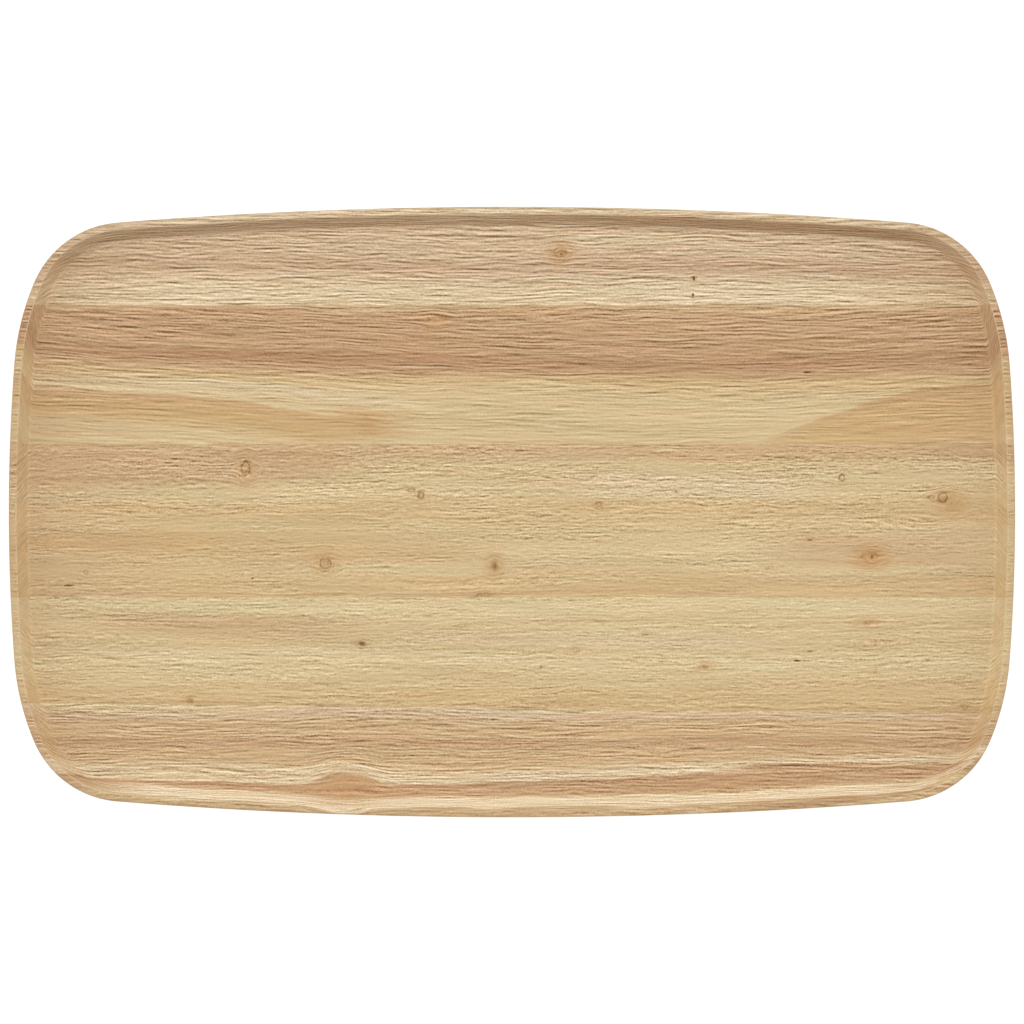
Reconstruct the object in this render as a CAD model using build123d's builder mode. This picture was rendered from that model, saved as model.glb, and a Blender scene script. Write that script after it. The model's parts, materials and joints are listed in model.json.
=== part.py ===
from build123d import *
from math import asin, degrees
import os

# A serving tray milled from one hardwood panel, with a shallow pocket and a low rim all
# round. The panel is five staves glued edge to edge, their grain along the tray.
# +X runs along the grain, +Y across it to the back edge and +Z up. The origin is at the
# centre of the underside. Everything is in millimetres and degrees.

# The finished tray
length = 457.2
width = 277.4
height = 18.0

# The outline's arcs, from the middle of an end to the middle of a side. The corner's turn
# and the side's radius follow from the tray's length and width.
end_radius, end_turn = 910.0, 4.2
shoulder_radius, shoulder_turn = 119.0, 18.7
corner_radius = 44.8

# The pocket. Its wall leans outwards from the floor, by this angle from upright.
pocket_depth = 8.0
wall_inset = 3.5
wall_lean = 28.0

# The rounded edges
outer_rim_round = 0.8
inner_rim_round = 0.8
wall_foot_round = 2.0
underside_round = 9.0

# The glued joints, back to front: the place of each on the Y axis, and its slant
joints = [(94.2, 0.0), (30.9, 0.0), (-38.8, 0.0), (-89.4, -0.66)]
glue_thickness = 0.1

staves = [
    "back_edge_stave",
    "back_inner_stave",
    "centre_stave",
    "front_inner_stave",
    "front_edge_stave",
]
glue_lines = [
    "back_edge_glue_line",
    "back_inner_glue_line",
    "front_inner_glue_line",
    "front_edge_glue_line",
]

# The plan view: four tangent arcs make a quarter, which is mirrored across both axes.
with BuildSketch() as outline:
    with BuildLine():
        end = JernArc((length / 2, 0), (0, 1), end_radius, end_turn)
        shoulder = JernArc(end @ 1, end % 1, shoulder_radius, shoulder_turn)
        # The side arc is centred on the Y axis and holds the corner's circle inside it
        corner_centre = shoulder @ 1 + (shoulder % 1).rotate(Axis.Z, 90) * corner_radius
        rise = width / 2 - corner_radius - corner_centre.Y
        centre_distance = (corner_centre.X**2 + rise**2) / (2 * rise)
        side_turn = degrees(asin(corner_centre.X / centre_distance))
        corner_turn = 90 - end_turn - shoulder_turn - side_turn
        corner = JernArc(shoulder @ 1, shoulder % 1, corner_radius, corner_turn)
        JernArc(corner @ 1, corner % 1, centre_distance + corner_radius, side_turn)
        mirror(about=Plane.YZ)
        mirror(about=Plane.XZ)
    make_face()

# The whole glued panel, cut to the outline, with its pocket and its rounded edges
with BuildPart() as panel:
    add(outline.sketch)
    extrude(amount=height)
    fillet(panel.faces().sort_by(Axis.Z)[0].edges(), underside_round)
    with BuildSketch(Plane.XY.offset(height)):
        add(outline.sketch)
        offset(amount=-wall_inset, mode=Mode.REPLACE)
    extrude(amount=-pocket_depth, taper=wall_lean, mode=Mode.SUBTRACT)
    pocket_floor = panel.faces().filter_by(Plane.XY).sort_by(Axis.Z)[1]
    fillet(pocket_floor.edges(), wall_foot_round)
    rim_top = panel.faces().sort_by(Axis.Z)[-1]
    fillet(rim_top.inner_wires()[0].edges(), inner_rim_round)
    rounded_rim_top = panel.faces().sort_by(Axis.Z)[-1]
    fillet(rounded_rim_top.outer_wire().edges(), outer_rim_round)


def upright(y, slant):
    """The plane across Y at y that faces the back edge, turned from the X axis by slant."""
    return Plane(origin=(0, y, 0), z_dir=Vector(0, 1, 0).rotate(Axis.Z, slant))


def write_slice(name, behind, in_front):
    """Writes the slice of the panel between two upright planes, or out to its edge."""
    with BuildPart() as piece:
        add(panel.part)
        if behind:
            split(bisect_by=behind, keep=Keep.BOTTOM)
        if in_front:
            split(bisect_by=in_front, keep=Keep.TOP)
    piece.part.label = name
    export_step(piece.part, f"parts/{name}.step")


os.makedirs("parts", exist_ok=True)

# Each joint's film of glue fills the whole section between the two staves that it holds.
film_backs = [upright(y + glue_thickness / 2, slant) for y, slant in joints]
film_fronts = [upright(y - glue_thickness / 2, slant) for y, slant in joints]

for name, behind, in_front in zip(staves, [None, *film_fronts], [*film_backs, None]):
    write_slice(name, behind, in_front)

for name, behind, in_front in zip(glue_lines, film_backs, film_fronts):
    write_slice(name, behind, in_front)
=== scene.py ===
import json
from collections import namedtuple
from functools import reduce
from math import asin, ceil, cos, pi, radians, sin, tan

import bmesh
import bpy
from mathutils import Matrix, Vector


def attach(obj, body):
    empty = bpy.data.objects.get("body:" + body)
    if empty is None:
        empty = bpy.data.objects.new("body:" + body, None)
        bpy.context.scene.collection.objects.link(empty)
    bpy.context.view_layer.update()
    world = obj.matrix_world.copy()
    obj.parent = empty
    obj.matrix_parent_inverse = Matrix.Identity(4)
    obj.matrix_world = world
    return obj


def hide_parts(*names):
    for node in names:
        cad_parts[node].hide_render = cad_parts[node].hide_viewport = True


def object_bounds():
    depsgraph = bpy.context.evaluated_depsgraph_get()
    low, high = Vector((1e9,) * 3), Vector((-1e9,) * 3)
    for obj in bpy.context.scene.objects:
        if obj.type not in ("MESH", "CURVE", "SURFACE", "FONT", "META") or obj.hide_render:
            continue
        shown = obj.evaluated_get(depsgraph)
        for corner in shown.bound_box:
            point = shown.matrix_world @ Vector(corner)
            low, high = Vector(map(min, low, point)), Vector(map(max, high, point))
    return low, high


# A serving tray of five hardwood staves glued edge to edge. Each stave and each film of
# glue is a finer mesh that takes the place of its CAD node. Lengths are in metres, except
# in the wood's figure, where they are in millimetres. +X runs along the grain, +Y to the
# back edge and +Z up.

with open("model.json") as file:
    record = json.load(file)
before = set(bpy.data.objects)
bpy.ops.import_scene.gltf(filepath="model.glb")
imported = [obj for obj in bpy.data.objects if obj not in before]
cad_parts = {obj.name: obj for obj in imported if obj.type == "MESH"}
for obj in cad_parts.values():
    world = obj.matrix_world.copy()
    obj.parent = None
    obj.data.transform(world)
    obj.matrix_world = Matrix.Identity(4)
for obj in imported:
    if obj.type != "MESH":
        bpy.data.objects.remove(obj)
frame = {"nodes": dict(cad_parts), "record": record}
cad_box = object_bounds()
MM = 0.001


# ---------------------------------------------------------------- the tray's surface

HALF_LENGTH = cad_box[1].x
HALF_WIDTH = cad_box[1].y
HEIGHT = cad_box[1].z
MOUNTS = {mount["name"]: mount for mount in frame["record"]["mounts"]}
FLOOR_HEIGHT = MOUNTS["tray_floor"]["pos_m"][2]

# The outline's arcs from the middle of an end: radius and turn
END = (910 * MM, radians(4.2))
SHOULDER = (119 * MM, radians(18.7))
CORNER_RADIUS = 44.8 * MM

# The section through the rim
WALL_INSET = 3.5 * MM
WALL_LEAN = radians(28)
OUTER_RIM_ROUND = 0.8 * MM
INNER_RIM_ROUND = 0.8 * MM
WALL_FOOT_ROUND = 2 * MM
UNDERSIDE_ROUND = 9 * MM

OUTLINE_STEP = 2 * MM
SECTION_STEP = radians(7.5)


def walk_arc(start, heading, radius, turn):
    """Steps along an arc that turns left from start. Returns its (point, outward normal)
    pairs after the first, its end point and its end heading."""
    centre = start + radius * Vector((-sin(heading), cos(heading)))
    steps = ceil(radius * turn / OUTLINE_STEP)
    pairs = []
    for step in range(1, steps + 1):
        angle = heading + turn * step / steps
        outward = Vector((sin(angle), -cos(angle)))
        pairs.append((centre + radius * outward, outward))
    return pairs, pairs[-1][0], heading + turn


def quarter_outline():
    """The outline from the middle of the right end to the middle of the back side."""
    start = Vector((HALF_LENGTH, 0))
    end, place, heading = walk_arc(start, pi / 2, *END)
    shoulder, place, heading = walk_arc(place, heading, *SHOULDER)
    # The side arc is centred on the Y axis and holds the corner's circle inside it
    corner_centre = place + CORNER_RADIUS * Vector((-sin(heading), cos(heading)))
    rise = HALF_WIDTH - CORNER_RADIUS - corner_centre.y
    centre_distance = (corner_centre.x**2 + rise**2) / (2 * rise)
    side_turn = asin(corner_centre.x / centre_distance)
    corner_turn = pi - heading - side_turn
    corner, place, heading = walk_arc(place, heading, CORNER_RADIUS, corner_turn)
    side, place, heading = walk_arc(place, heading, centre_distance + CORNER_RADIUS, side_turn)
    return [(start, Vector((1, 0)))] + end + shoulder + corner + side


def whole_outline():
    """The quarter, mirrored across both axes, anticlockwise from the right end."""
    quarter = quarter_outline()
    half = quarter + [(Vector((-p.x, p.y)), Vector((-n.x, n.y))) for p, n in quarter[-2::-1]]
    return half + [(Vector((p.x, -p.y)), Vector((n.x, -n.y))) for p, n in half[-2:0:-1]]


# A line of vertices all round the tray. Its third value is how much painted shade darkens the
# outside, most of all at its edge, and its fourth is 1 where the inner edge has a painted highlight.
Station = namedtuple("Station", "inset height handled worn")


def bend(inset, height, radius, first, last):
    """A rounded edge between two directions that it faces: (inset, height, share of the turn)
    at each step. Angle 0 faces outwards, a quarter turn faces up, and the centre is at inset
    and height. A hollow bend has a negative radius."""
    steps = ceil(abs(last - first) / SECTION_STEP)
    for step in range(steps + 1):
        share = step / steps
        angle = first + (last - first) * share
        yield inset - radius * cos(angle), height + radius * sin(angle), share


def section():
    """The stations from the edge of the flat underside, round the outside, over the rim and
    down the wall, to the edge of the tray's floor."""
    wall_turn = pi / 2 - WALL_LEAN
    wall_faces = pi / 2 + wall_turn
    rim_edge = WALL_INSET - INNER_RIM_ROUND * tan(wall_turn / 2)
    foot = WALL_INSET + (HEIGHT - FLOOR_HEIGHT) * tan(WALL_LEAN)
    floor_edge = foot + WALL_FOOT_ROUND * tan(wall_turn / 2)
    under = bend(UNDERSIDE_ROUND, UNDERSIDE_ROUND, UNDERSIDE_ROUND, -pi / 2, 0)
    outer = bend(OUTER_RIM_ROUND, HEIGHT - OUTER_RIM_ROUND, OUTER_RIM_ROUND, 0, pi / 2)
    inner = bend(rim_edge, HEIGHT - INNER_RIM_ROUND, INNER_RIM_ROUND, pi / 2, wall_faces)
    hollow = bend(floor_edge, FLOOR_HEIGHT + WALL_FOOT_ROUND, -WALL_FOOT_ROUND, wall_faces, pi / 2)
    # The outside carries painted shade, most at the outer rim edge, and the inner rim edge a painted
    # highlight
    return [
        *[Station(inset, height, 0.35 * share, 0) for inset, height, share in under],
        *[Station(inset, height, 0.35 + 0.65 * sin(pi * share), 0) for inset, height, share in outer],
        *[Station(inset, height, 0, sin(pi * share)) for inset, height, share in inner],
        *[Station(inset, height, 0, 0) for inset, height, share in hollow],
    ]


def whole_tray():
    """The closed surface of the whole tray, as a bmesh."""
    outline = whole_outline()
    count = len(outline)
    tray = bmesh.new()
    # Layers for the painted shade on the outside and the painted highlight on the inner rim edge
    handled = tray.verts.layers.float.new("handled")
    worn = tray.verts.layers.float.new("worn")
    rings = []
    for station in section():
        ring = []
        for point, outward in outline:
            place = point - station.inset * outward
            vertex = tray.verts.new((place.x, place.y, station.height))
            vertex[handled] = station.handled
            vertex[worn] = station.worn
            ring.append(vertex)
        rings.append(ring)
    for lower, upper in zip(rings, rings[1:]):
        for i in range(count):
            j = (i + 1) % count
            tray.faces.new((lower[i], lower[j], upper[j], upper[i]))
    # The flat underside and the flat floor are ladders of faces across the tray
    for ring, order in ((rings[0], -1), (rings[-1], 1)):
        for i in range(count // 2):
            rung = [ring[i], ring[i + 1], ring[-i - 1], ring[-i % count]]
            tray.faces.new(list(dict.fromkeys(rung))[::order])
    return tray


# ---------------------------------------------------------------- its nine pieces

STAVES = [
    "back_edge_stave",
    "back_inner_stave",
    "centre_stave",
    "front_inner_stave",
    "front_edge_stave",
]
FILMS = [
    "back_edge_glue_line",
    "back_inner_glue_line",
    "front_inner_glue_line",
    "front_edge_glue_line",
]


def film_planes(node):
    """A glue film's back and front planes, each as (point, normal towards the back)."""
    mesh = frame["nodes"][node].data
    normal = max(mesh.polygons, key=lambda face: face.area).normal.copy()
    if normal.y < 0:
        normal.negate()
    depths = [normal.dot(vertex.co) for vertex in mesh.vertices]
    return (normal * max(depths), normal), (normal * min(depths), normal)


def cut_away(mesh, plane, back):
    """Cuts off what is behind a plane, or in front of it, and closes the cut."""
    point, normal = plane
    cut = bmesh.ops.bisect_plane(
        mesh,
        geom=mesh.verts[:] + mesh.edges[:] + mesh.faces[:],
        dist=1e-8,
        plane_co=point,
        plane_no=normal,
        clear_outer=back,
        clear_inner=not back,
    )
    edges = [item for item in cut["geom_cut"] if isinstance(item, bmesh.types.BMEdge)]
    bmesh.ops.edgeloop_fill(mesh, edges=edges)


def make_piece(name, node, tray, behind, in_front, material):
    """The slice of the tray in front of one plane and behind the other, for a CAD node."""
    mesh = tray.copy()
    if behind:
        cut_away(mesh, behind, back=True)
    if in_front:
        cut_away(mesh, in_front, back=False)
    bmesh.ops.recalc_face_normals(mesh, faces=mesh.faces)
    data = bpy.data.meshes.new(name)
    mesh.to_mesh(data)
    mesh.free()
    data.shade_smooth()
    data.set_sharp_from_angle(angle=radians(40))
    data.materials.append(material)
    piece = bpy.data.objects.new(name, data)
    bpy.context.scene.collection.objects.link(piece)
    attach(piece, "root")
    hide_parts(node)
    return piece


# ---------------------------------------------------------------- node trees as formulas


class Field:
    """A value that varies over the wood. Arithmetic on it adds the maths nodes."""

    def __init__(self, graph, socket):
        self.graph = graph
        self.socket = socket

    def __add__(self, other):
        return self.graph.math("ADD", self, other)

    def __sub__(self, other):
        return self.graph.math("SUBTRACT", self, other)

    def __mul__(self, other):
        return self.graph.math("MULTIPLY", self, other)

    __radd__ = __add__
    __rmul__ = __mul__


class Graph:
    """The node tree of one material. Each method adds nodes and returns their result."""

    def __init__(self, material):
        material.use_nodes = True
        self.tree = material.node_tree
        self.tree.nodes.clear()

    def node(self, kind, inputs, **settings):
        node = self.tree.nodes.new(kind)
        for name, value in settings.items():
            setattr(node, name, value)
        for key, value in inputs.items():
            if isinstance(value, Field):
                self.tree.links.new(value.socket, node.inputs[key])
            else:
                node.inputs[key].default_value = value
        return node

    def math(self, operation, *values):
        node = self.node("ShaderNodeMath", dict(enumerate(values)), operation=operation)
        return Field(self, node.outputs[0])

    def add_product(self, one, other, value):
        """One times other, plus a value."""
        return self.math("MULTIPLY_ADD", one, other, value)

    def largest(self, values):
        """The greatest of some values at each place."""
        return reduce(lambda one, other: self.math("MAXIMUM", one, other), values)

    def vector_math(self, operation, inputs, output="Vector"):
        node = self.node("ShaderNodeVectorMath", inputs, operation=operation)
        return Field(self, node.outputs[output])

    def millimetres(self):
        """The place on the object in millimetres, whole and as its X, Y and Z."""
        metres = Field(self, self.node("ShaderNodeTexCoord", {}).outputs["Object"])
        place = self.vector_math("SCALE", {0: metres, "Scale": 1 / MM})
        parts = self.node("ShaderNodeSeparateXYZ", {0: place})
        return place, *[Field(self, output) for output in parts.outputs]

    def vector(self, x, y, z):
        node = self.node("ShaderNodeCombineXYZ", {"X": x, "Y": y, "Z": z})
        return Field(self, node.outputs[0])

    def endwise(self):
        """How far the surface cuts across the grain: 0 along it, 1 at a square end."""
        normal = Field(self, self.node("ShaderNodeTexCoord", {}).outputs["Normal"])
        parts = self.node("ShaderNodeSeparateXYZ", {0: normal})
        return self.math("ABSOLUTE", Field(self, parts.outputs["X"]))

    def attribute(self, name):
        node = self.node("ShaderNodeAttribute", {}, attribute_name=name)
        return Field(self, node.outputs["Fac"])

    def noise(self, place, size, seed, detail=0.0):
        """Smooth noise about 0, whose lumps have this size along each axis."""
        scale = Vector([1 / length for length in size])
        shift = Vector((13.7, 7.1, 3.9)) * seed
        moved = self.vector_math("MULTIPLY_ADD", {0: place, 1: scale, 2: shift})
        inputs = {"Vector": moved, "Scale": 1.0, "Detail": detail}
        node = self.node("ShaderNodeTexNoise", inputs, normalize=False)
        return Field(self, node.outputs[0])

    def step(self, value, low, high, top=1.0):
        """0 below low, top above high, and smooth between. Low may be above high."""
        inputs = {"Value": value, "From Min": low, "From Max": high, "To Max": top}
        node = self.node("ShaderNodeMapRange", inputs, interpolation_type="SMOOTHSTEP")
        return Field(self, node.outputs[0])

    def mix(self, share, one, other, blend="MIX"):
        """The colour at this share of the way from one colour to another."""
        inputs = {0: share, 6: one, 7: other}
        node = self.node("ShaderNodeMix", inputs, data_type="RGBA", blend_type=blend)
        return Field(self, node.outputs[2])

    def ramp(self, value, stops):
        """A colour for each value, from (value, colour) pairs."""
        stops = sorted(stops)
        low, high = stops[0][0], stops[-1][0]
        share = self.add_product(value, 1 / (high - low), -low / (high - low))
        node = self.node("ShaderNodeValToRGB", {"Fac": share})
        elements = node.color_ramp.elements
        while len(elements) < len(stops):
            elements.new(0.5)
        for element, (place, colour) in zip(elements, stops):
            element.position = (place - low) / (high - low)
            element.color = colour
        return Field(self, node.outputs["Color"])

    def surface(self, colour, roughness, height, specular):
        """The finished surface. The bump's height is in millimetres."""
        bump = self.node("ShaderNodeBump", {"Height": height, "Distance": MM})
        inputs = {
            "Base Color": colour,
            "Roughness": roughness,
            "Specular IOR Level": specular,
            "Normal": Field(self, bump.outputs[0]),
        }
        shader = self.node("ShaderNodeBsdfPrincipled", inputs)
        output = self.node("ShaderNodeOutputMaterial", {})
        self.tree.links.new(shader.outputs[0], output.inputs["Surface"])


# ---------------------------------------------------------------- the wood's figure


def srgb(*channels):
    """A screen colour, 0 to 255, as the linear colour that Blender takes."""
    return *[((channel / 255 + 0.055) / 1.055) ** 2.4 for channel in channels], 1.0


MILK = srgb(240, 222, 190)
CREAM = srgb(218, 197, 162)
BLUSH = srgb(209, 183, 150)
ROSE = srgb(198, 168, 136)
STRAW = srgb(212, 189, 146)
BUTTER = srgb(215, 195, 152)
HONEY = srgb(208, 181, 135)
TAN = srgb(203, 173, 132)
OCHRE = srgb(201, 170, 122)
CLAY = srgb(193, 158, 120)
RUST = srgb(180, 141, 104)
AMBER = srgb(193, 150, 98)
GOLD = srgb(199, 162, 109)
# The painted shade on the outside of the rim
SHADE_UMBER = srgb(132, 104, 78)

# How far from the middle the tray's ends are, and where the wood starts to darken towards
# them
END_X = 228
END_FADE = 140

# How far past its last point a stripe fades out, and how far before it the fade starts
FADE_PAST = 25
FADE_BEFORE = 20

# How far the grain is pushed aside by a knot, as a share of the distance from its middle,
# and how far that reaches, in the knot's own radii
KNOT_PUSH = 0.55
KNOT_REACH = 4

# A line of the fine grain: its thickness across the face, its depth, and the step from its
# dark side to its pale side, which are painted shade and painted highlight of its relief
LINE_THICKNESS = 0.62
LINE_DEPTH = 5
LINE_STEP = 0.9

# What the wood's colour is multiplied by in a knot
BARK = (0.15, 0.06, 0.02, 1)

# What the wood's colour is multiplied by in the fine grain, from a dark line to a pale one
GRAIN_TINTS = [
    (-2.5, (0.30, 0.22, 0.14, 1)),
    (-1.0, (0.66, 0.59, 0.48, 1)),
    (0.0, (0.98, 0.95, 0.91, 1)),
    (1.0, (1.26, 1.29, 1.36, 1)),
    (2.0, (1.45, 1.52, 1.66, 1)),
]

# A stripe follows the bow through its three (x, y) points and fades out past the first and
# the last. Up and down are how far it spreads to the back and to the front.
Stripe = namedtuple("Stripe", "colour strength up down line")

# A knot is a dark ring where hollow is true, or else a dark spot. The grain parts round it
# and is stained near it. Without any dark it is a swelling over a knot that lies deeper.
Knot = namedtuple("Knot", "x y along across hollow dark stain")

# seed: makes the stave's streaks its own
# tilt: how far the figure moves to the back, in mm, for each mm of height
# bow: how far the grain lies to the back at the left end and at the right end
# ends: how strongly the wood darkens towards the left end and the right end
# fibres: the shares of the long lines, the short lines and the grit in the fine grain
# dash: the usual length of a long line
# contrast: the strength of the fine grain at the stave's back and at its front
# patchy: how much that strength comes and goes along the stave
# colours: the colour at each place across the stave, at mid-length
Stave = namedtuple("Stave", "seed tilt bow ends fibres dash contrast patchy colours stripes knots")

BACK_EDGE = Stave(
    seed=1,
    tilt=-0.3,
    bow=(1.0, -1.5),
    ends=(0.45, 0.6),
    fibres=(2.2, 0.9, 1.2),
    dash=15,
    contrast=(0.72, 0.68),
    patchy=0.0,
    colours=[
        (142, CREAM), (136, CREAM), (130, BLUSH), (118, BLUSH),
        (113, ROSE), (108, BLUSH), (103, CREAM), (94, CREAM),
    ],
    stripes=[
        Stripe(ROSE, 0.8, 2.5, 2.5, ((60, 111), (120, 110), (228, 109))),
        Stripe(CLAY, 0.5, 1.2, 1.2, ((-200, 110), (-120, 112), (-20, 113))),
        Stripe(CREAM, 0.7, 2.5, 2.5, ((20, 125), (60, 124), (100, 123))),
        # These rose and clay bands along the far wall are partly the wood's colour and partly painted
        # shade on that wall
        Stripe(ROSE, 0.6, 4.6, 3.8, ((-180, 127), (0, 134.4), (180, 127))),
        Stripe(CLAY, 0.6, 4.0, 4.5, ((50, 134), (115, 131.5), (180, 127))),
        Stripe(RUST, 0.7, 0.6, 0.6, ((-5, 132), (30, 135), (65, 132))),
        Stripe(RUST, 0.7, 0.6, 0.6, ((-5, 133), (30, 129.5), (65, 133))),
    ],
    knots=[
        Knot(22.0, 118.4, 2.6, 2.2, True, 0.2, 0.8),
        Knot(22.6, 117.6, 0.9, 0.7, False, 0.5, 0.0),
        Knot(82.9, 106.3, 0.6, 0.9, False, 0.95, 0.5),
        Knot(82.5, 99.0, 0.55, 1.0, False, 0.95, 0.2),
    ],
)

BACK_INNER = Stave(
    seed=2,
    tilt=0.85,
    bow=(8.0, 2.5),
    ends=(0.35, 0.3),
    fibres=(2.4, 0.7, 1.3),
    dash=16,
    contrast=(0.78, 0.24),
    patchy=0.4,
    colours=[
        (94, TAN), (89, CLAY), (72, CLAY), (68, RUST), (64, CLAY), (59, HONEY), (53, STRAW),
        (47, STRAW), (40, STRAW), (31, STRAW),
    ],
    stripes=[
        Stripe(RUST, 0.8, 4.0, 1.8, ((-228, 78), (-96, 70.5), (10, 69))),
        Stripe(RUST, 0.8, 4.0, 1.6, ((110, 69.5), (170, 71), (228, 73))),
        Stripe(CREAM, 0.5, 4.0, 4.5, ((-205, 61), (-130, 57), (-60, 51))),
        Stripe(GOLD, 0.7, 1.2, 15.0, ((-228, 56.5), (-132, 50), (-75, 42))),
        Stripe(CLAY, 0.4, 0.8, 4.0, ((-228, 56.5), (-132, 50), (-95, 44.5))),
        Stripe(AMBER, 1.0, 6.5, 9.0, ((-70, 42.5), (-66, 42), (-62, 41.5))),
        Stripe(GOLD, 0.7, 3.0, 34.0, ((122, 33), (157, 46), (228, 57))),
        Stripe(CLAY, 0.3, 1.2, 4.0, ((130, 38), (157, 47), (228, 58))),
    ],
    knots=[
        Knot(-36, 87.5, 3.0, 2.0, False, 0.0, 0.45),
        Knot(134.7, 63.7, 2.3, 0.5, False, 0.85, 0.0),
    ],
)

CENTRE = Stave(
    seed=3,
    tilt=-0.35,
    bow=(0.0, 0.0),
    ends=(0.4, 0.2),
    fibres=(1.5, 1.6, 2.0),
    dash=16,
    contrast=(0.49, 0.27),
    patchy=0.9,
    colours=[
        (31, TAN), (25, TAN), (22, STRAW), (15, STRAW), (8, STRAW), (2, HONEY), (-10, STRAW),
        (-25, STRAW), (-33, HONEY), (-39, HONEY),
    ],
    stripes=[
        Stripe(CLAY, 0.6, 9.0, 9.0, ((-228, 20), (-150, 20), (-80, 22))),
        Stripe(OCHRE, 0.8, 4.5, 6.5, ((-228, -11), (-180, -11), (-130, -12))),
        Stripe(OCHRE, 0.5, 9.0, 9.0, ((-228, -19), (-110, -18), (-20, -17))),
        Stripe(CLAY, 0.5, 0.8, 0.8, ((-228, -37), (0, -37.3), (120, -37))),
        Stripe(CREAM, 0.7, 7.0, 7.0, ((30, 12), (80, 11.5), (130, 11))),
        Stripe(CLAY, 0.5, 10.0, 9.0, ((125, -17), (165, -17.5), (205, -18))),
    ],
    knots=[
        Knot(-121.5, 19.9, 1.9, 3.1, True, 0.5, 0.5),
        Knot(-41.5, 7.5, 1.2, 1.4, True, 0.5, 0.4),
        Knot(-46.0, 9.9, 1.6, 0.7, True, 0.4, 0.4),
        Knot(39.7, 3.5, 1.2, 1.0, True, 0.35, 0.4),
        Knot(150.4, 15.7, 1.2, 1.4, True, 0.45, 0.3),
        Knot(196.4, 6.7, 1.9, 2.2, True, 0.45, 0.4),
        Knot(191.2, 6.7, 1.4, 0.8, True, 0.3, 0.2),
        Knot(201.0, 4.0, 3.0, 2.4, False, 0.0, 0.6),
        Knot(135.9, -12.7, 1.1, 0.5, False, 0.55, 0.4),
        Knot(126.6, -7.2, 0.7, 0.5, False, 0.5, 0.3),
        Knot(163.4, -20.2, 3.4, 2.2, True, 0.2, 1.0),
        Knot(164.2, -20.3, 0.8, 1.2, False, 0.5, 0.0),
        Knot(116.3, -25.8, 1.4, 0.6, False, 0.35, 0.2),
        Knot(-155.9, -15.2, 1.8, 0.9, False, 0.15, 0.2),
        Knot(-202.2, -33.5, 2.6, 0.5, False, 0.85, 0.1),
        Knot(-194.2, -27.5, 0.9, 0.9, True, 0.25, 0.1),
        Knot(-85.1, -23.4, 2.4, 2.2, True, 0.4, 0.6),
        Knot(-7.9, -24.4, 1.7, 2.3, False, 0.4, 0.7),
        Knot(-7.6, -24.8, 0.6, 1.3, False, 0.6, 0.0),
        Knot(-118.4, -30.3, 0.8, 0.35, False, 0.8, 0.0),
        Knot(-14.8, -38.2, 1.1, 1.0, True, 0.25, 0.3),
        Knot(-11.8, -38.0, 1.0, 1.0, True, 0.25, 0.3),
    ],
)

FRONT_INNER = Stave(
    seed=4,
    tilt=0.3,
    bow=(0.0, 0.0),
    ends=(0.25, 0.15),
    fibres=(1.5, 1.5, 2.0),
    dash=16,
    contrast=(0.33, 0.38),
    patchy=0.7,
    colours=[
        (-39, BUTTER), (-45, BUTTER), (-50, STRAW), (-60, STRAW), (-68, BUTTER), (-76, STRAW),
        (-83, HONEY), (-88, HONEY), (-93, OCHRE),
    ],
    stripes=[
        Stripe(TAN, 0.8, 9.0, 4.0, ((-180, -52), (-130, -53), (-80, -55))),
        Stripe(CREAM, 0.8, 0.7, 0.8, ((-228, -64), (-100, -65), (60, -66.5))),
        Stripe(CREAM, 0.7, 3.5, 3.5, ((-40, -57), (40, -58.5), (110, -60))),
        Stripe(CLAY, 0.5, 0.8, 0.8, ((-228, -87), (0, -88), (228, -91))),
    ],
    knots=[
        Knot(-68.4, -60.0, 1.6, 1.1, False, 0.75, 0.5),
        Knot(-23.3, -51.9, 1.8, 0.8, True, 0.2, 0.1),
        Knot(13.3, -70.6, 0.9, 0.45, False, 0.55, 0.2),
        Knot(28.9, -62.8, 1.2, 1.0, True, 0.15, 0.3),
        Knot(61.0, -55.9, 1.7, 0.5, False, 0.5, 0.1),
        Knot(87.9, -70.5, 1.8, 1.1, False, 0.2, 0.6),
        Knot(130.0, -67.8, 1.9, 0.45, False, 0.95, 0.0),
        Knot(136.1, -63.5, 1.9, 0.45, False, 0.6, 0.0),
        Knot(164, -60.3, 5, 2.0, False, 0.0, 0.2),
        Knot(162.5, -50.6, 2.8, 1.0, False, 0.2, 0.5),
        Knot(165.6, -73, 1.4, 0.7, False, 0.2, 0.2),
        Knot(206.6, -89.0, 1.2, 0.9, True, 0.25, 0.3),
        Knot(-146.6, -86.0, 1.5, 1.4, False, 0.3, 0.4),
    ],
)

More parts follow.
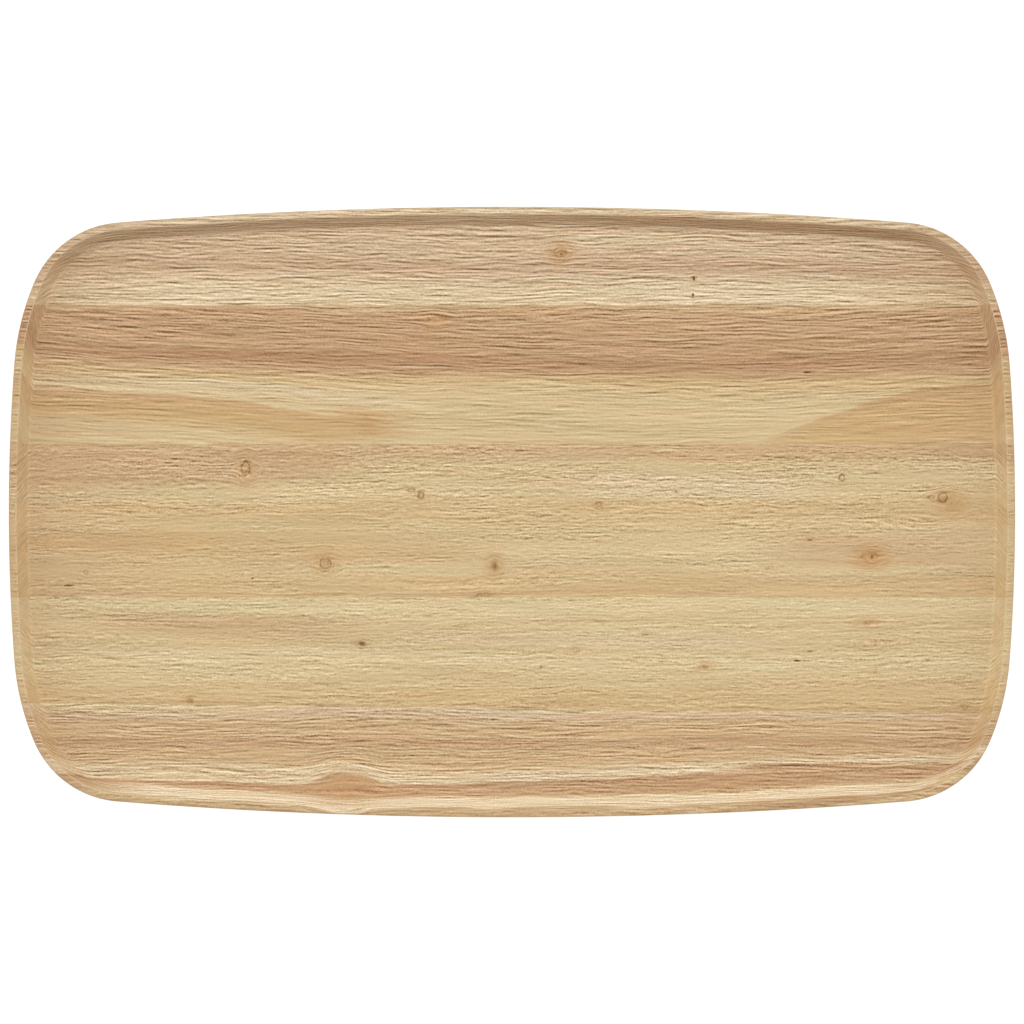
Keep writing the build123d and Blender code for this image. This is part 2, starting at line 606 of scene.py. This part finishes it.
FRONT_EDGE = Stave(
    seed=5,
    tilt=0.4,
    bow=(0.0, 0.0),
    ends=(0.2, 0.2),
    fibres=(2.2, 0.9, 1.6),
    dash=14,
    contrast=(0.59, 0.53),
    patchy=0.7,
    colours=[
        (-87, BUTTER), (-92, BLUSH), (-96, TAN), (-102, TAN), (-105, CLAY), (-108, TAN),
        (-113, TAN), (-124, STRAW), (-130, HONEY), (-139, TAN), (-142, TAN),
    ],
    stripes=[
        Stripe(CREAM, 0.6, 4.0, 4.0, ((-228, -116.5), (-140, -118), (-50, -118.5))),
        Stripe(CREAM, 1.0, 7.0, 1.0, ((-228, -121), (0, -123.5), (228, -112.8))),
        Stripe(CLAY, 1.0, 0.3, 9.0, ((-228, -121.4), (0, -123.8), (228, -113.2))),
        Stripe(RUST, 0.7, 0.5, 1.4, ((-228, -121.4), (0, -123.8), (228, -113.2))),
        Stripe(CLAY, 1.0, 0.8, 12.0, ((-104, -127.0), (-76, -121.8), (-48, -127.0))),
        Stripe(CLAY, 1.0, 0.5, 7.0, ((100, -118.0), (138, -115.4), (176, -115.2))),
        # These milk bands along the near wall are partly pale wood and partly a painted highlight on
        # that wall
        Stripe(MILK, 1.0, 5.0, 3.8, ((-180, -128.2), (0, -134.6), (180, -127.2))),
        Stripe(MILK, 0.7, 3.0, 2.5, ((165, -129), (192, -123.5), (210, -114))),
        Stripe(RUST, 0.7, 0.8, 2.6, ((110, -137), (155, -133.4), (200, -127))),
    ],
    knots=[
        Knot(-76, -128, 6.0, 6.0, False, 0.0, 0.3),
    ],
)


def bow(graph, x, points):
    """The height at x of the bow through three points."""
    (x0, y0), (x1, y1), (x2, y2) = points
    first = (y1 - y0) / (x1 - x0)
    second = ((y2 - y1) / (x2 - x1) - first) / (x2 - x0)
    slope = first - second * (x0 + x1)
    start = y0 - slope * x0 - second * x0 * x0
    return graph.add_product(x, graph.add_product(x, second, slope), start)


def knot_distance(graph, place, knot):
    """How far a place is from the knot's middle, in the knot's own radii."""
    scale = (1 / knot.along, 1 / knot.across, 0)
    shift = (-knot.x / knot.along, -knot.y / knot.across, 0)
    away = graph.vector_math("MULTIPLY_ADD", {0: place, 1: scale, 2: shift})
    return graph.vector_math("LENGTH", {0: away}, "Value")


def add_stripe(graph, colour, stripe, x, across):
    """A band of another colour along the grain, at full strength over its inner half."""
    away = across - bow(graph, x, stripe.line)
    spread = graph.math("MAXIMUM", away * (1 / stripe.up), away * (-1 / stripe.down))
    first, last = stripe.line[0][0], stripe.line[2][0]
    along = graph.math("ABSOLUTE", x - (first + last) / 2)
    reach = (last - first) / 2
    inside = graph.step(spread, 1, 0.5, stripe.strength)
    between = graph.step(along, reach + FADE_PAST, reach - FADE_BEFORE)
    return graph.mix(inside * between, colour, stripe.colour)


def knot_mark(graph, distance, knot):
    """The dark ring or spot itself. A ring's line is under a millimetre thick."""
    if knot.hollow:
        radius = (knot.along + knot.across) / 2
        from_ring = graph.math("ABSOLUTE", distance - 1)
        return graph.step(from_ring, 0.6 / radius, 0.15 / radius, knot.dark)
    return graph.step(distance, 1.3, 0.4, knot.dark)


# The course of the grain through a stave. Rise is how far to the front the tilt has moved the
# figure, against where it lies on the tray's floor. Across is the place in the figure that
# the stripes are laid out on, and level is the same less the stave's bow. Distances and
# nearness are to each knot.
Course = namedtuple("Course", "place x y z rise ripple across level distances nearness")


def grain_course(graph, stave):
    """The grain wanders, parts round the knots and bows along the stave."""
    place, x, y, z = graph.millimetres()
    drift = graph.noise(place, (110, 30, 30), stave.seed)
    ripple = graph.noise(place, (26, 8, 8), stave.seed + 20, detail=1.0)
    rise = graph.add_product(z, -stave.tilt, stave.tilt * FLOOR_HEIGHT / MM)
    across = y + rise + drift * 1.6 + ripple * 0.7
    distances = [knot_distance(graph, place, knot) for knot in stave.knots]
    nearness = [graph.step(distance, KNOT_REACH, 0) for distance in distances]
    for knot, near in zip(stave.knots, nearness):
        aside = graph.add_product(y, -KNOT_PUSH, KNOT_PUSH * knot.y)
        across = graph.add_product(near, aside, across)
    level = across - bow(graph, x, ((-END_X, stave.bow[0]), (0, 0), (END_X, stave.bow[1])))
    return Course(place, x, y, z, rise, ripple, across, level, distances, nearness)


def figure_colour(graph, stave, course, streaks):
    """The colour from back to front, with its edges broken into streaks, and its stains."""
    colour = graph.ramp(graph.add_product(streaks, 1.2, course.level), stave.colours)
    streaked = graph.add_product(streaks, 0.9, course.across)
    for stripe in stave.stripes:
        colour = add_stripe(graph, colour, stripe, course.x, streaked)
    left = graph.step(course.x, -END_FADE, -END_X, stave.ends[0])
    right = graph.step(course.x, END_FADE, END_X, stave.ends[1])
    colour = graph.mix(left + right, colour, CLAY)
    for knot, near in zip(stave.knots, course.nearness):
        colour = graph.mix(near * knot.stain, colour, AMBER)
    return colour


def fine_lines(graph, stave, course):
    """The long lines and the short lines along the grain, each with a dark side and a pale side
    that paint the shade and the highlight of its relief, and the grit. They lean over further than
    the figure, so they stay fine on the sides."""
    leaning = course.level + course.rise * 1.5
    depth = course.z + course.y * 0.3
    line = graph.vector(course.x, leaning, depth)
    beside = graph.vector(course.x, leaning + LINE_STEP, depth)
    lines = []
    for number, dash in enumerate((stave.dash, stave.dash / 4)):
        lump = (dash, LINE_THICKNESS, LINE_DEPTH)
        seed = stave.seed + number
        lines.append(graph.noise(line, lump, seed) - graph.noise(beside, lump, seed))
    return *lines, graph.noise(line, (0.8, 0.45, 1.2), stave.seed + 6)


def line_strength(graph, stave, course, grain):
    """How strong the fine lines are. They come and go, and they are fainter on the cut ends
    and on the outside, where painted shade darkens the wood."""
    back, front = max(stave.colours)[0], min(stave.colours)[0]
    more = graph.step(course.y, back, front, stave.contrast[1] - stave.contrast[0])
    patches = graph.noise(grain, (45, 7, 7), stave.seed + 8)
    strength = (more + stave.contrast[0]) * graph.add_product(patches, stave.patchy, 1)
    strength = strength * graph.add_product(graph.endwise(), -0.5, 1)
    return strength * graph.add_product(graph.attribute("handled"), -0.6, 1)


def wood(name, stave):
    """One stave's wood: its figure from back to front, its knots and its open grain."""
    material = bpy.data.materials.new(name)
    graph = Graph(material)
    course = grain_course(graph, stave)
    grain = graph.vector(course.x, course.level, course.z)
    streaks = graph.noise(grain, (60, 2.6, 2.6), stave.seed + 3, detail=1.0)
    broad = graph.noise(grain, (160, 7, 7), stave.seed + 4)
    blush = graph.noise(grain, (60, 3.5, 3.5), stave.seed + 7)
    colour = figure_colour(graph, stave, course, streaks)

    # The fine grain is darker and redder, or paler, than the wood; its paired sides are painted
    # relief shade and highlight
    long_lines, short_lines, grit = fine_lines(graph, stave, course)
    shares = stave.fibres
    fine = long_lines * shares[0] + short_lines * shares[1] + grit * shares[2]
    sharp = fine * graph.add_product(graph.math("ABSOLUTE", fine), 0.2, 0.85)
    strength = line_strength(graph, stave, course, grain)
    tone = sharp * strength + streaks * 0.25 + broad * 0.2
    colour = graph.mix(1.0, colour, graph.ramp(tone, GRAIN_TINTS), "MULTIPLY")
    warmth = graph.mix(blush + 0.5, (0.98, 1.0, 1.01, 1), (1.02, 0.995, 0.98, 1))
    colour = graph.mix(1.0, colour, warmth, "MULTIPLY")

    # The knots have ragged edges
    ragged = graph.noise(course.place, (1.2, 1.0, 1.2), stave.seed + 5) * 0.25
    dark = graph.largest([
        knot_mark(graph, distance + ragged, knot)
        for knot, distance in zip(stave.knots, course.distances)
    ])
    colour = graph.mix(dark, colour, BARK, "MULTIPLY")

    # The inner edge of the rim gets a painted highlight and the outside gets painted shade
    worn = graph.attribute("worn") * graph.step(course.ripple, -0.6, 0.2, 0.6)
    colour = graph.mix(worn, colour, CREAM)
    handled = graph.attribute("handled") * graph.step(streaks, -1.2, 0.6, 0.3)
    colour = graph.mix(handled, colour, SHADE_UMBER)

    pores = graph.step(long_lines, -0.3, -0.8)
    height = long_lines * 0.03 - pores * 0.03 - dark * 0.08
    roughness = 0.5 + 0.12 * pores - 0.05 * streaks
    graph.surface(colour, roughness, height, specular=0.25 + dark * -0.2)
    return material


def glue(name):
    """A film of cured glue, clear amber and a little uneven."""
    material = bpy.data.materials.new(name)
    graph = Graph(material)
    place = graph.millimetres()[0]
    uneven = graph.noise(place, (6, 2, 2), 9, detail=2.0)
    colour = graph.mix(uneven + 0.5, srgb(176, 138, 92), srgb(198, 164, 118))
    graph.surface(colour, uneven * 0.1 + 0.45, uneven * 0.01, specular=0.5)
    return material


# ---------------------------------------------------------------- building the tray

FIGURES = [BACK_EDGE, BACK_INNER, CENTRE, FRONT_INNER, FRONT_EDGE]
tray = whole_tray()
films = [film_planes(node) for node in FILMS]
backs = [film[0] for film in films]
fronts = [film[1] for film in films]

for node, figure, behind, in_front in zip(STAVES, FIGURES, [None, *fronts], [*backs, None]):
    slot = node.replace("_stave", "_wood")
    material = wood("figured_" + slot, figure)
    make_piece("figured_" + node, node, tray, behind, in_front, material)

amber = glue("amber_glue")
for node, behind, in_front in zip(FILMS, backs, fronts):
    make_piece("cured_" + node, node, tray, behind, in_front, amber)
tray.free()


# ---------------------------------------------------------------- floor, light and camera


def lay_floor():
    """A pale floor that glows, like a light table."""
    floor = bpy.data.objects.new("floor", bpy.data.meshes.new("floor"))
    half = 12.0
    corners = [(-half, -half, 0), (half, -half, 0), (half, half, 0), (-half, half, 0)]
    floor.data.from_pydata(corners, [], [(0, 1, 2, 3)])
    bpy.context.scene.collection.objects.link(floor)
    material = bpy.data.materials.new("floor")
    material.use_nodes = True
    shader = material.node_tree.nodes["Principled BSDF"]
    shader.inputs["Base Color"].default_value = (0.25, 0.25, 0.25, 1)
    shader.inputs["Specular IOR Level"].default_value = 0
    shader.inputs["Roughness"].default_value = 1
    shader.inputs["Emission Color"].default_value = (1, 1, 1, 1)
    shader.inputs["Emission Strength"].default_value = 0.88
    floor.data.materials.append(material)


def add_sun(name, energy, softness, towards):
    """A light from the direction of towards, as wide as softness in degrees."""
    sun = bpy.data.objects.new(name, bpy.data.lights.new(name, "SUN"))
    sun.data.energy = energy
    sun.data.angle = radians(softness)
    sun.rotation_euler = Vector(towards).to_track_quat("Z", "Y").to_euler()
    bpy.context.scene.collection.objects.link(sun)


def light_studio():
    """A soft light from high behind the tray, three low ones round it, and an even fill."""
    add_sun("key", 1.17, 18, (-0.1, 1, tan(radians(65))))
    low = tan(radians(20))
    for name, energy, x, y in (("left", 0.8, -1, 0), ("right", 0.8, 1, 0), ("back", 0.2, 0, 1)):
        add_sun(name, energy, 40, (x, y, low))
    world = bpy.data.worlds.new("studio")
    world.use_nodes = True
    nodes = world.node_tree.nodes
    background = nodes["Background"]
    background.inputs["Color"].default_value = (1, 1, 1, 1)
    # The fill is seen as white as the floor
    seen = nodes.new("ShaderNodeLightPath")
    strength = nodes.new("ShaderNodeMapRange")
    strength.inputs["To Min"].default_value = 0.485
    strength.inputs["To Max"].default_value = 1.0
    world.node_tree.links.new(seen.outputs["Is Camera Ray"], strength.inputs["Value"])
    world.node_tree.links.new(strength.outputs[0], background.inputs["Strength"])
    bpy.context.scene.world = world


def set_camera():
    """Straight above the tray, which nearly fills the frame from side to side."""
    camera = bpy.data.objects.new("camera", bpy.data.cameras.new("camera"))
    camera.data.lens = 135
    tray_share = 0.9834
    frame_width = 2 * HALF_LENGTH / tray_share
    distance = frame_width * camera.data.lens / camera.data.sensor_width
    camera.location = (0, 0, HEIGHT + distance)
    bpy.context.scene.collection.objects.link(camera)
    bpy.context.scene.camera = camera


lay_floor()
light_studio()
set_camera()
bpy.context.scene.view_settings.view_transform = "Standard"

bpy.context.view_layer.update()
